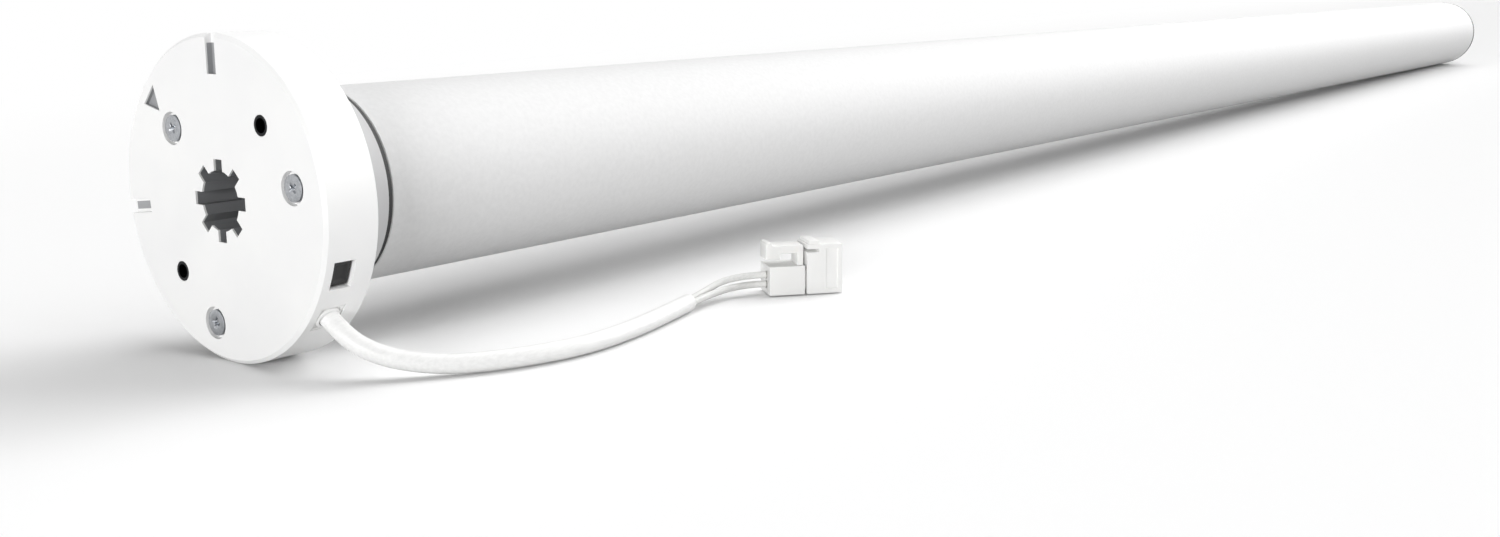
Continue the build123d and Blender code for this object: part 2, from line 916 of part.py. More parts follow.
# Battery cradle: a trough with an end stop at each end and a tail that reaches to the motor
cradle_bore = cell_radius + cell_side_gap
with BuildPart() as battery_cradle:
    ring(cradle_start, cradle_end, tube_bore, cradle_bore)
    opening_half_width = tube_bore * tan(radians(cradle_opening / 2))
    with BuildSketch(across(cradle_start)) as opening:
        with BuildLine():
            Polyline(
                (0, 0),
                (opening_half_width * 2, tube_bore * 2),
                (-opening_half_width * 2, tube_bore * 2),
                close=True,
            )
        make_face()
    extrude(opening.sketch, amount=cradle_end - cradle_start, mode=Mode.SUBTRACT)
    ring(cradle_start, cradle_start + cradle_stop, cradle_bore, stop_bore_radius)
    ring(cells_end, cells_end + cradle_stop, cradle_bore, stop_bore_radius)
finish(battery_cradle, "battery_cradle")

with BuildPart() as battery_board:
    protection_start = cradle_start + cradle_stop
    ring(protection_start, protection_start + protection_thickness, cell_radius)
finish(battery_board, "battery_board")

for cell in range(cell_count):
    with BuildPart() as battery_cell:
        can_begin = cell_start + cell * cell_length
        can_finish = can_begin + cell_length - button_pole_height
        ring(can_begin, can_finish, cell_radius)
        fillet(battery_cell.edges().filter_by(GeomType.CIRCLE), cell_edge)
        ring(can_finish, can_finish + button_pole_height, button_pole_radius)
    finish(battery_cell, f"battery_cell_{cell + 1}")

# Leads inside the tube: two to the battery and two over it to the motor
lead_exit_height = board_top + rear_terminal_height / 2
with BuildPart() as tube_leads:
    for side in (-1, 1):
        motor_lead_route = [
            (board_end, side * lead_spacing / 2, lead_exit_height),
            (board_end + lead_straight, side * lead_spacing / 2, lead_exit_height),
            (cradle_start - lead_straight, side * lead_spacing / 2, lead_height),
            (end_bell_start, side * lead_spacing / 2, lead_height),
        ]
        bent_lead(motor_lead_route)
        battery_side = side * lead_spacing * 3 / 2
        battery_reach = (battery_side**2 + lead_exit_height**2) ** 0.5
        battery_bearing = degrees(atan2(lead_exit_height, battery_side))
        rod(board_end, cradle_start + cradle_stop, battery_bearing, battery_reach, lead_radius)
finish(tube_leads, "tube_leads")

# Motor: can, magnets, end bell with brushes, and its bushes
boss_end = can_end + boss_height
with BuildPart() as motor_can:
    ring(can_start, can_end, can_radius, can_bore)
    ring(can_end - can_front, can_end, can_radius)
    ring(can_end, boss_end, boss_radius)
    ring(can_end - can_front, boss_end, bush_radius, mode=Mode.SUBTRACT)
    for bearing in motor_screw_bearings:
        rod(
            can_end - can_front,
            can_end,
            bearing,
            motor_screw_circle_radius,
            motor_screw_shank_radius,
            Mode.SUBTRACT,
        )
finish(motor_can, "motor_can")

with BuildPart() as motor_magnets:
    magnet_start = can_start + magnet_margin
    magnet_end = can_end - magnet_margin
    ring(magnet_start, magnet_end, can_bore, magnet_inner_radius)
    block(magnet_start, magnet_end, 0, 0, magnet_gap_width, 2 * can_radius, Mode.SUBTRACT)
finish(motor_magnets, "motor_magnets")

core_start = (can_start + can_end - core_length) / 2
commutator_start = can_start + end_bell_plug + holder_wall
commutator_end = core_start - winding_length - commutator_gap
holder_width = brush_width + 2 * holder_wall
with BuildPart() as motor_end_bell:
    ring(end_bell_start, can_start, neck_radius)
    ring(can_start, can_start + end_bell_plug, can_bore)
    for side in (-1, 1):
        block(
            can_start + end_bell_plug,
            commutator_start + brush_length + holder_wall,
            side * (commutator_radius + holder_wall + brush_reach) / 2,
            0,
            brush_reach - commutator_radius - holder_wall,
            holder_width,
        )
    block(
        commutator_start,
        commutator_start + brush_length,
        0,
        0,
        2 * (brush_reach + overrun),
        brush_width,
        Mode.SUBTRACT,
    )
    ring(end_bell_start, can_start + end_bell_plug, bush_radius, mode=Mode.SUBTRACT)
finish(motor_end_bell, "motor_end_bell")

with BuildPart() as motor_brushes:
    for side in (-1, 1):
        block(
            commutator_start,
            commutator_start + brush_length,
            side * (commutator_radius + brush_gap + brush_reach) / 2,
            0,
            brush_reach - commutator_radius - brush_gap,
            brush_width,
        )
finish(motor_brushes, "motor_brushes")

with BuildPart() as motor_bushes:
    rear_bush_end = can_start + end_bell_plug
    front_bush_start = boss_end - bush_length
    for start, end in ((rear_bush_end - bush_length, rear_bush_end), (front_bush_start, boss_end)):
        ring(start, end, bush_radius, shaft_radius + shaft_clearance)
finish(motor_bushes, "motor_bushes")

# Rotor: shaft, wound core and commutator
encoder_board_start = end_bell_start - encoder_board_thickness
encoder_magnet_end = encoder_board_start - encoder_gap
encoder_magnet_start = encoder_magnet_end - encoder_magnet_length
shaft_end = planet_starts[0] + planet_widths[0]
with BuildPart() as rotor_shaft:
    ring(encoder_magnet_start, shaft_end, shaft_radius)
finish(rotor_shaft, "rotor_shaft")

with BuildPart() as rotor_core:
    ring(core_start, core_start + core_length, core_radius, shaft_radius)
    for slot in range(core_slots):
        with BuildSketch(across(core_start, slot * full_turn / core_slots)) as opening:
            with Locations((core_radius + overrun - (core_slot_depth + overrun) / 2, 0)):
                Rectangle(core_slot_depth + overrun, core_slot_width)
        extrude(opening.sketch, amount=core_length, mode=Mode.SUBTRACT)
finish(rotor_core, "rotor_core")

with BuildPart() as rotor_windings:
    for start in (core_start - winding_length, core_start + core_length):
        ring(start, start + winding_length, winding_radius, core_hub_radius)
finish(rotor_windings, "rotor_windings")

with BuildPart() as commutator:
    ring(commutator_start, commutator_end, commutator_radius, shaft_radius)
    for bar in range(commutator_bars):
        with BuildSketch(across(commutator_start, bar * full_turn / commutator_bars)) as slit:
            with Locations((commutator_radius, 0)):
                Rectangle(2 * commutator_slit_depth, commutator_slit_width)
        extrude(slit.sketch, amount=commutator_end - commutator_start, mode=Mode.SUBTRACT)
finish(commutator, "commutator")

# Encoder: a magnet on the shaft's rear end and a sensor board on the end bell
with BuildPart() as encoder_magnet:
    ring(encoder_magnet_start, encoder_magnet_end, encoder_magnet_radius, shaft_radius)
finish(encoder_magnet, "encoder_magnet")

with BuildPart() as encoder_board:
    ring(encoder_board_start, end_bell_start, encoder_board_radius, encoder_hole_radius)
    notch_width = lead_spacing + 2 * (lead_radius + notch_margin)
    block(
        encoder_board_start,
        end_bell_start,
        0,
        encoder_board_radius,
        notch_width,
        2 * (encoder_board_radius - lead_height + lead_radius + notch_margin),
        Mode.SUBTRACT,
    )
finish(encoder_board, "encoder_board")

# Gearbox plate, which the motor's front is screwed to
plate_end = can_end + gearbox_plate_thickness
with BuildPart() as gearbox_plate:
    ring(can_end, plate_end, neck_radius, boss_radius)
    for bearing in motor_screw_bearings:
        rod(can_end, plate_end, bearing, motor_screw_circle_radius, motor_screw_shank_radius, Mode.SUBTRACT)
        rod(
            plate_end - motor_screw_head_height,
            plate_end,
            bearing,
            motor_screw_circle_radius,
            motor_screw_head_radius,
            Mode.SUBTRACT,
        )
finish(gearbox_plate, "gearbox_plate")

# Gear housing: the brake's bore and the toothed ring in one
with BuildPart() as ring_gear:
    ring(plate_end, housing_end, neck_radius)
    ring(plate_end, brake_end, brake_bore, mode=Mode.SUBTRACT)
    teeth_space = toothed(across(brake_end), ring_teeth, ring_tip, ring_root, backlash)
    extrude(teeth_space, amount=housing_end - brake_end, mode=Mode.SUBTRACT)
finish(ring_gear, "ring_gear")

with BuildPart() as motor_screws:
    for bearing in motor_screw_bearings:
        seat = across(plate_end, bearing)
        top = Plane(
            origin=seat.from_local_coords((motor_screw_circle_radius, 0, 0)),
            x_dir=seat.x_dir,
            z_dir=(1, 0, 0),
        )
        screw(
            top,
            motor_screw_head_radius,
            motor_screw_head_height,
            motor_screw_shank_radius,
            gearbox_plate_thickness + can_front,
        )
finish(motor_screws, "motor_screws")

# Holding brake
with BuildPart() as brake_magnet:
    ring(brake_start, brake_end, brake_bore, brake_ring_inner_radius)
finish(brake_magnet, "brake_magnet")

brake_rotor_radius = brake_ring_inner_radius - brake_air_gap
with BuildPart() as brake_rotor:
    ring(brake_start, brake_end - stage_gap, brake_rotor_radius, shaft_radius)
    for pole in range(brake_poles):
        with BuildSketch(across(brake_start, pole * full_turn / brake_poles)) as notch:
            with Locations((brake_rotor_radius, 0)):
                Rectangle(2 * brake_notch_depth, brake_notch_width)
        extrude(notch.sketch, amount=brake_length - stage_gap, mode=Mode.SUBTRACT)
finish(brake_rotor, "brake_rotor")

# Gears
pitch_factor = tooth_module / 2
sun_low = pitch_factor * sun_teeth - dedendum
sun_high = pitch_factor * sun_teeth + addendum
planet_low = pitch_factor * planet_teeth - dedendum
planet_high = pitch_factor * planet_teeth + addendum


def sun(start, end):
    """A sun gear round the axis, with a tooth on +Y."""
    extrude(toothed(across(start), sun_teeth, sun_low, sun_high, -backlash), amount=end - start)


with BuildPart() as sun_gear:
    sun(planet_starts[0], shaft_end)
    ring(planet_starts[0], shaft_end, shaft_radius, mode=Mode.SUBTRACT)
finish(sun_gear, "sun_gear")

planet_bearings = [full_turn / planet_count * planet for planet in range(planet_count)]
for stage, (start, width) in enumerate(zip(planet_starts, planet_widths), 1):
    for letter, bearing in zip("abc", planet_bearings):
        with BuildPart() as planet_gear:
            centre = across(start, bearing)
            plane = Plane(
                origin=centre.from_local_coords((planet_distance, 0, 0)),
                x_dir=centre.x_dir,
                z_dir=(1, 0, 0),
            )
            extrude(toothed(plane, planet_teeth, planet_low, planet_high, -backlash), amount=width)
            rod(start, start + width, bearing, planet_distance, pin_radius + pin_clearance, Mode.SUBTRACT)
        finish(planet_gear, f"planet_gear_{stage}{letter}")


def carrier(stage):
    """A carrier's plate with its three pins, which reach back through the planets."""
    plate = plate_starts[stage]
    ring(plate, plate + carrier_plates[stage], carrier_radius)
    for bearing in planet_bearings:
        rod(planet_starts[stage], plate, bearing, planet_distance, pin_radius)


for stage in (0, 1):
    with BuildPart() as planet_carrier:
        carrier(stage)
        sun(plate_starts[stage] + carrier_plates[stage], planet_starts[stage + 1] + planet_widths[stage + 1])
    finish(planet_carrier, f"planet_carrier_{stage + 1}")

# Output shaft, one with the last carrier
clip_start = motor_end + clip_gap
shaft_tip = motor_end + output_reach
with BuildPart() as output_shaft:
    carrier(2)
    ring(plate_starts[2] + carrier_plates[2], shaft_tip, output_radius)
    tip_rim = output_shaft.edges().group_by(Axis.X)[-1]
    chamfer(tip_rim, output_chamfer)
    ring(
        clip_start,
        clip_start + clip_thickness,
        output_radius + overrun,
        output_radius - clip_groove,
        Mode.SUBTRACT,
    )
    block(
        shaft_tip - output_flat_length,
        shaft_tip,
        0,
        output_radius,
        2 * output_radius,
        2 * output_flat_depth,
        Mode.SUBTRACT,
    )
    ring(shaft_tip - output_screw_depth, shaft_tip, output_screw_radius, mode=Mode.SUBTRACT)
finish(output_shaft, "output_shaft")

# End cap with the output shaft's bush, and the clip outside it
with BuildPart() as end_cap:
    ring(end_cap_start, tube_end, neck_radius, output_bush_radius)
    ring(tube_end, motor_end, tube_radius, output_bush_radius)
    chamfer(end_cap.edges().group_by(Axis.X)[-1].sort_by(SortBy.RADIUS)[-1], end_cap_edge)
    for along, bearing in tube_screw_places[len(head_end_bearings):]:
        spoke(along, bearing, end_cap_screw_depth, tube_radius, tube_screw_shank_radius, Mode.SUBTRACT)
finish(end_cap, "end_cap")

with BuildPart() as output_bush:
    ring(end_cap_start, motor_end, output_bush_radius, output_radius + output_clearance)
finish(output_bush, "output_bush")

with BuildPart() as output_clip:
    ring(clip_start, clip_start + clip_thickness, clip_radius, output_radius - clip_groove)
    opening_width = 2 * clip_radius * tan(radians(clip_opening / 2))
    block(
        clip_start,
        clip_start + clip_thickness,
        0,
        -clip_radius,
        opening_width,
        2 * (clip_radius - output_radius + clip_groove) + overrun,
        Mode.SUBTRACT,
    )
finish(output_clip, "output_clip")

stage_ratio = 1 + ring_teeth / sun_teeth
planet_turns = -ring_teeth / planet_teeth
print("tube from", round(tube_start, 3), "to", round(tube_end, 3), "motor end", round(motor_end, 3))
print("shaft tip", round(shaft_tip, 3), "stage ratio", stage_ratio, "planet turns a stage", planet_turns)
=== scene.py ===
# %% [markdown]
# # A tubular roller blind motor
# The motor is a slim white tube, 654 mm long, with a round head at one end and a drive shaft at
# the other. The solids come from a CAD model that is loaded as a fixed frame: metres, +X along
# the motor, +Z up, with the origin in the middle of the head's front face. Here they get their
# finishes, and what CAD does badly is modelled.

# %% Load the frame
import json
import math

import bmesh
import bpy
from mathutils import Matrix, Vector


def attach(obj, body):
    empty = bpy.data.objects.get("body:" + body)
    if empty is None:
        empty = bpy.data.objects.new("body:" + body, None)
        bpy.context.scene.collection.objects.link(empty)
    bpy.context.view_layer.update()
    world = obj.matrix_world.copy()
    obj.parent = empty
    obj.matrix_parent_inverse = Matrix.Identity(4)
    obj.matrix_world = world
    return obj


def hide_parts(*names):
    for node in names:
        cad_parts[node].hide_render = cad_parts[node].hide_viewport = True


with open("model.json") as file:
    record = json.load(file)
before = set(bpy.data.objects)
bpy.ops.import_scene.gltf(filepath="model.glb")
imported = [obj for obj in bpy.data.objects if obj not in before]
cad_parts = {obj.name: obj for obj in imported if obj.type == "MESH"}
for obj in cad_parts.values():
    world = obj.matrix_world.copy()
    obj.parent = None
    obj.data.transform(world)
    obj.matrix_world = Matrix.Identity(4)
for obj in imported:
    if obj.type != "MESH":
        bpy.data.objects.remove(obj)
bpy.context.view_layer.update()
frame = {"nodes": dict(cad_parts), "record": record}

# %% [markdown]
# ## Camera
# The head fills the left of the picture and the tube runs away to the upper right, so the camera
# stands close, a little above the motor and well to the side of its axis. A wide lens from close
# by gives the strong taper.

# %% Place the camera
MM = 0.001
camera_place = (-0.11525, -0.17527, 0.03032)
camera_right = Vector((0.60433, -0.79674, 0.0))
camera_up = Vector((0.15562, 0.11804, 0.98074))
camera_back = camera_right.cross(camera_up)
camera_turn = Matrix((camera_right, camera_up, camera_back)).transposed().to_4x4()
camera = bpy.data.objects.new("camera", bpy.data.cameras.new("camera"))
bpy.context.scene.collection.objects.link(camera)
camera.matrix_world = Matrix.Translation(camera_place) @ camera_turn
camera.data.sensor_width = 36.0
camera.data.lens = 36.31
camera.data.clip_start = 0.01
camera.data.clip_end = 20.0
bpy.context.scene.camera = camera
print("camera", [round(value, 4) for value in camera.matrix_world.translation])

# %% [markdown]
# ## Cable and its two wires
# The cable is a fixed length of soft round lead: it leaves the head's side, drops to the table
# and lies there in one easy bend. A smooth NURBS curve through a few widely spaced control points
# bends as a real lead does. Its two cores come out of the jacket's end and turn into the plug, one
# above the other.

# %% Lay the cable and the wires
cable_radius = 1.35 * MM
wire_radius = 0.55 * MM
cable_route = [
    (3.5, -14.248, -11.956),
    (3.5, -18.845, -15.813),
    (6.4, -23.0, -18.9),
    (12.2, -28.4, -20.45),
    (20.5, -33.6, -20.35),
    (31.0, -36.4, -20.25),
    (42.0, -35.4, -20.12),
    (52.0, -33.2, -19.99),
    (58.8, -31.4, -19.93),
]
upper_wire_route = [
    (58.634, -30.772, -19.93),
    (64.048, -29.339, -19.882),
    (71.097, -29.704, -18.05),
    (75.777, -33.46, -18.05),
]
lower_wire_route = [
    (58.966, -32.028, -19.93),
    (63.413, -30.851, -19.891),
    (72.267, -30.643, -19.55),
    (75.777, -33.46, -19.55),
]


def lay_leads(name, routes, radius):
    """Round leads on smooth curves, whose control points are the routes', in millimetres."""
    curve = bpy.data.curves.new(name, "CURVE")
    curve.dimensions = "3D"
    for route in routes:
        spline = curve.splines.new("NURBS")
        spline.points.add(len(route) - 1)
        for point, place in zip(spline.points, route):
            point.co = (*(value * MM for value in place), 1.0)
        spline.order_u = 3
        spline.use_endpoint_u = True
        spline.resolution_u = 16
        spline.use_smooth = True
    curve.bevel_depth = radius
    curve.bevel_resolution = 8
    curve.use_fill_caps = True
    lead = bpy.data.objects.new(name, curve)
    bpy.context.scene.collection.objects.link(lead)
    return lead


cable = lay_leads("cable_jacket", [cable_route], cable_radius)
plug_cores = lay_leads("plug_cores", [upper_wire_route, lower_wire_route], wire_radius)
print("cable points", len(cable_route))

# %% [markdown]
# ## Colours and helpers for materials
# Colours are written as the hex values that a colour picker shows. Shaders work in linear light,
# so one function turns them. Another adds a shader node, gives it its settings and links what
# feeds it. Two more do what most finishes share: one gives a shader its two tones and its relief,
# and one lets its roughness vary.

# %% Colour and node helpers


def linear(code):
    """The linear colour of an sRGB hex value."""
    channels = [int(code[place:place + 2], 16) / 255 for place in (1, 3, 5)]
    return (*(c / 12.92 if c <= 0.04045 else ((c + 0.055) / 1.055) ** 2.4 for c in channels), 1.0)


def add(tree, kind, settings=None, links=None):
    """A node of that kind with its settings, and its sockets fed by the outputs given."""
    node = tree.nodes.new(kind)
    for name, value in (settings or {}).items():
        if isinstance(name, int) or name in node.inputs:
            node.inputs[name].default_value = value
        else:
            setattr(node, name, value)
    for name, output in (links or {}).items():
        tree.links.new(output, node.inputs[name])
    return node


def begin(name):
    """An empty material with its output and a shader, and the piece's own place in metres."""
    made = bpy.data.materials.new(name)
    made.use_nodes = True
    tree = made.node_tree
    tree.nodes.clear()
    shader = add(tree, "ShaderNodeBsdfPrincipled")
    add(tree, "ShaderNodeOutputMaterial", links={"Surface": shader.outputs[0]})
    place = add(tree, "ShaderNodeTexCoord").outputs["Object"]
    return made, tree, shader, place


def per_metre(size_mm):
    """A noise scale that gives grains of a size in millimetres."""
    return 1 / (size_mm * MM)


def feed(tree, shader, tone, low, high, relief, strength, depth_mm, start=0.3, end=0.7):
    """Gives a shader two colours, which one pattern goes between, and the relief of another."""
    ramp = add(tree, "ShaderNodeValToRGB", links={0: tone})
    ramp.color_ramp.elements[0].position = start
    ramp.color_ramp.elements[1].position = end
    ramp.color_ramp.elements[0].color = linear(low)
    ramp.color_ramp.elements[1].color = linear(high)
    settings = {"Strength": strength, "Distance": depth_mm * MM}
    bump = add(tree, "ShaderNodeBump", settings, {"Height": relief})
    tree.links.new(ramp.outputs[0], shader.inputs["Base Color"])
    tree.links.new(bump.outputs[0], shader.inputs["Normal"])


def roughen(tree, shader, pattern, low, high):
    """Lets a pattern take a shader's roughness from one value to another."""
    values = add(tree, "ShaderNodeMapRange", {3: low, 4: high}, {0: pattern})
    tree.links.new(values.outputs[0], shader.inputs["Roughness"])


print("material helpers ready")

# %% [markdown]
# ## Moulded plastics
# The head is injection-moulded ABS in white: smooth, with a low gloss and a spark-eroded grain too
# fine to see as dots, which softens its highlights. The crown ring is acetal, duller because it has
# to slide; its grey is painted shade, for the shade in the narrow space behind the head. Nylon is
# the tough one: dark grey for the end cap, grey for the star socket, black for the button and the
# washer, and milky for the plug. The washer's black is painted shade, for the gap behind the crown.
# All share one build: a faint cloud of tone, a fine bump and a roughness that wanders a little.

# %% Moulded plastic
CLOUD_MM = 14


def moulded(name, low, high, roughness, grain_mm, bump_mm, ior=1.5, subsurface=0.0):
    """An injection-moulded plastic with a fine spark-eroded grain."""
    made, tree, shader, place = begin(name)
    cloud_settings = {"Scale": per_metre(CLOUD_MM), "Detail": 3.0}
    cloud = add(tree, "ShaderNodeTexNoise", cloud_settings, {"Vector": place}).outputs[0]
    grain_settings = {"Scale": per_metre(grain_mm), "Detail": 4.0, "Roughness": 0.6}
    grain = add(tree, "ShaderNodeTexNoise", grain_settings, {"Vector": place}).outputs[0]
    feed(tree, shader, cloud, low, high, grain, 0.35, bump_mm)
    roughen(tree, shader, cloud, roughness - 0.04, roughness + 0.06)
    shader.inputs["IOR"].default_value = ior
    if subsurface:
        shader.inputs["Subsurface Weight"].default_value = subsurface
        shader.inputs["Subsurface Radius"].default_value = (1.0, 0.95, 0.9)
        shader.inputs["Subsurface Scale"].default_value = 0.6 * MM
    return made


finishes = {
    # ABS, injection-moulded in white against a fine spark-eroded tool: an even white with a
    # soft, broad gloss
    "white_plastic": moulded("moulded_white_abs", "#EFEFEF", "#F4F4F3", 0.36, 0.35, 0.010),
    # Acetal, waxy and duller than the head; its light grey is painted shade, for the shade behind
    # the head
    "crown_plastic": moulded(
        "moulded_acetal_painted_shade_grey", "#C4C4C5", "#CDCDCE", 0.48, 0.4, 0.012, ior=1.48
    ),
    # Glass-filled nylon in dark grey: a dull, slightly mottled skin
    "grey_plastic": moulded("moulded_dark_nylon", "#3A3B3D", "#444547", 0.55, 0.3, 0.02, ior=1.53),
    # Glass-filled nylon in grey, for the star socket, which has to be tough: dull, with the
    # fibres' faint clouds
    "socket_plastic": moulded(
        "moulded_grey_nylon", "#77787A", "#828385", 0.5, 0.3, 0.02, ior=1.53
    ),
    # Nylon in black, for the setting button, the crown washer, and the trays and blocks inside. On
    # the crown washer the black is painted shade, for the shade in the gap behind the crown
    "black_plastic": moulded(
        "moulded_black_nylon_and_gap_shade", "#0E0E0F", "#151516", 0.6, 0.3, 0.02, ior=1.53
    ),
    # Acetal in its natural cream white, as moulded gears have
    "gear_plastic": moulded(
        "moulded_natural_acetal", "#E6E2D4", "#EDEADF", 0.4, 0.5, 0.006, ior=1.48, subsurface=0.1
    ),
    # Nylon in its natural milky white, as plug housings have
    "connector_plastic": moulded(
        "moulded_natural_nylon", "#E6E6E4", "#EFEFEE", 0.34, 0.3, 0.008, ior=1.53, subsurface=0.12
    ),
}
print("plastics", len(finishes))

# %% [markdown]
# ## Soft leads
# PVC jackets are extruded: they have a satin skin with very fine marks drawn along their length.
# The noise is stretched along the piece by a mapping node, so its grains turn to streaks.

# %% Extruded PVC and silicone
STREAK_DRAW = 0.08


def extruded(name, low, high, roughness, streak_mm):
    """An extruded soft jacket with faint streaks drawn along the motor's length."""
    made, tree, shader, place = begin(name)
    drawn = add(tree, "ShaderNodeMapping", {"Scale": (STREAK_DRAW, 1.0, 1.0)}, {"Vector": place})
    settings = {"Scale": per_metre(streak_mm), "Detail": 3.0}
    streaks = add(tree, "ShaderNodeTexNoise", settings, {"Vector": drawn.outputs[0]}).outputs[0]
    feed(tree, shader, streaks, low, high, streaks, 0.3, 0.01)
    roughen(tree, shader, streaks, roughness - 0.05, roughness + 0.07)
    shader.inputs["IOR"].default_value = 1.52
    return made


# PVC in white for the jacket and its cores, and silicone rubber in red for the leads inside
finishes["cable_white"] = extruded("extruded_white_pvc", "#E6E6E5", "#F0F0EF", 0.42, 0.4)
finishes["wire_white"] = extruded("extruded_core_pvc", "#D9D9D7", "#E6E6E4", 0.4, 0.25)
finishes["lead_insulation"] = extruded("extruded_red_silicone", "#8E1F1B", "#A32A22", 0.5, 0.25)
print("leads added", len(finishes))

# %% [markdown]
# ## Coated aluminium tube
# The tube is drawn aluminium with a white powder coat. Powder melts into a skin with a slight
# orange peel: waves about 1.5 mm long and a few microns deep, which break up long highlights. That
# is what tells paint from plastic.

# %% Powder coat


def powder_coat(name, low, high, roughness, wave_mm, fleck_mm):
    """A powder coat: an orange-peel wave, with a finer fleck in its tone."""
    made, tree, shader, place = begin(name)
    wave_settings = {"Scale": per_metre(wave_mm), "Detail": 1.0}
    wave = add(tree, "ShaderNodeTexNoise", wave_settings, {"Vector": place}).outputs[0]
    fleck_settings = {"Scale": per_metre(fleck_mm), "Detail": 2.0}
    fleck = add(tree, "ShaderNodeTexNoise", fleck_settings, {"Vector": place}).outputs[0]
    feed(tree, shader, fleck, low, high, wave, 0.4, 0.02)
    roughen(tree, shader, fleck, roughness - 0.03, roughness + 0.05)
    return made


finishes["coated_aluminium"] = powder_coat(
    "powder_coated_aluminium", "#DADADA", "#DFDFDF", 0.55, 1.5, 0.8
)
print("coat added")

# %% [markdown]
# ## Metals
# Turned and ground steel shows fine marks that run round the piece. A wave texture in rings round
# X would need the distance from the axis, so the noise is squeezed along X instead: its grains
# become thin hoops. Plated and sintered metals have no direction, only a mottled tone.
# Silicon-steel sheets are stacked along the shaft, so a banded wave along X draws the edges of the
# sheets.

# %% Turned, plated and stacked metals
HOOP_SQUEEZE = 12.0


def turned(name, low, high, roughness, mark_mm):
    """A metal that was turned or ground: fine hoops round the motor's axis."""
    made, tree, shader, place = begin(name)
    squeeze = {"Scale": (HOOP_SQUEEZE, 1.0, 1.0)}
    squeezed = add(tree, "ShaderNodeMapping", squeeze, {"Vector": place})
    settings = {"Scale": per_metre(mark_mm), "Detail": 4.0}
    hoops = add(tree, "ShaderNodeTexNoise", settings, {"Vector": squeezed.outputs[0]}).outputs[0]
    feed(tree, shader, hoops, low, high, hoops, 0.3, 0.008)
    roughen(tree, shader, hoops, roughness - 0.06, roughness + 0.1)
    shader.inputs["Metallic"].default_value = 1.0
    return made


def mottled(name, low, high, roughness, spot_mm, metallic=1.0, bump_mm=0.01):
    """A plated, pressed or sintered surface: spots with no direction."""
    made, tree, shader, place = begin(name)
    spot_settings = {"Scale": per_metre(spot_mm), "Randomness": 1.0}
    spots = add(tree, "ShaderNodeTexVoronoi", spot_settings, {"Vector": place}).outputs[0]
    cloud_settings = {"Scale": per_metre(3 * spot_mm), "Detail": 4.0}
    cloud = add(tree, "ShaderNodeTexNoise", cloud_settings, {"Vector": place}).outputs[0]
    feed(tree, shader, cloud, low, high, spots, 0.3, bump_mm)
    roughen(tree, shader, spots, roughness - 0.06, roughness + 0.1)
    shader.inputs["Metallic"].default_value = metallic
    return made


def stacked(name, low, high, roughness, sheet_mm):
    """Stamped sheets stacked along the shaft, each with a dark joint."""
    made, tree, shader, place = begin(name)
    settings = {
        "Scale": per_metre(sheet_mm) / 20,
        "Distortion": 0.0,
        "bands_direction": "X",
        "wave_profile": "SAW",
    }
    bands = add(tree, "ShaderNodeTexWave", settings, {"Vector": place}).outputs[1]
    feed(tree, shader, bands, low, high, bands, 0.5, 0.03, start=0.0, end=0.25)
    shader.inputs["Roughness"].default_value = roughness
    shader.inputs["Metallic"].default_value = 1.0
    return made


finishes.update({
    # Zinc-plated steel, bright and a little blue, with the plate's fine crystals
    "steel_screw": mottled("zinc_plated_steel", "#9DA0A4", "#B4B6B9", 0.3, 0.15),
    # Ground steel, for shafts, carriers, steel gears and the clip
    "bright_steel": turned("ground_steel", "#A9AAAC", "#C4C5C7", 0.26, 1.2),
    # Deep-drawn steel with a zinc plate, for the motor's can and the gearbox's front plate
    "zinc_steel": mottled("drawn_zinc_steel", "#A6A9AC", "#BEC1C4", 0.34, 0.4),
    # Silicon-steel sheets of 0.5 mm, for the rotor's core and the brake's rotor
    "lamination_steel": stacked("stacked_silicon_steel", "#3E3E40", "#8D8E90", 0.4, 0.5),
    # Steel with a black-oxide finish, for the bracket inserts; their black is also painted shade,
    # which keeps the bracket holes as dark as the shade deep in them
    "blackened_steel": turned("blackened_steel", "#1F2022", "#2D2E30", 0.38, 1.0),
    # Bronze for the bushes, sintered and soaked with oil: dull and full of pores
    "bronze": mottled("sintered_bronze", "#7A5A36", "#94714A", 0.42, 0.2, bump_mm=0.02),
    # Copper wire under a clear amber enamel
    "copper_wire": turned("enamelled_copper", "#8F4A26", "#B5643A", 0.3, 0.9),
    # Tin over bronze, for the plug's contacts
    "tinned_contact": mottled("tinned_bronze", "#C9C9C6", "#D9D9D6", 0.25, 0.2),
    # Ferrite, pressed and fired: charcoal grey with no shine
    "ferrite": mottled("fired_ferrite", "#27272A", "#343437", 0.62, 0.3, 0.0, 0.02),
    # Carbon, pressed for the brushes: near black with a faint sheen
    "carbon": mottled("pressed_carbon", "#1E1E1F", "#2B2B2C", 0.5, 0.2, 0.0, 0.02),
})
print("finishes", len(finishes))

# %% [markdown]
# ## Boards and battery sleeves
# A circuit board is glass cloth in epoxy under a green solder mask: the weave shows as a faint
# grid, and copper tracks under the mask are a lighter green. A battery cell wears a shrink sleeve,
# a thin glossy PVC film with small wrinkles.

# %% Board and sleeve


def solder_mask(name, mask, track, weave_mm, track_mm):
    """Green solder mask over tracks, with the glass cloth's weave just showing."""
    made, tree, shader, place = begin(name)
    settings = {
        "Scale": per_metre(track_mm) / 4,
        "Mortar Size": 0.03,
        "Mortar Smooth": 0.2,
        "Bias": 0.0,
    }
    tracks = add(tree, "ShaderNodeTexBrick", settings, {"Vector": place}).outputs["Fac"]
    checks = add(tree, "ShaderNodeTexChecker", {"Scale": per_metre(weave_mm)}, {"Vector": place})
    weave = checks.outputs["Fac"]
    feed(tree, shader, tracks, mask, track, weave, 0.2, 0.01, start=0.2, end=0.8)
    shader.inputs["Roughness"].default_value = 0.3
    return made


finishes["circuit_board"] = solder_mask("solder_masked_board", "#14532D", "#2E7A4B", 0.6, 2.5)
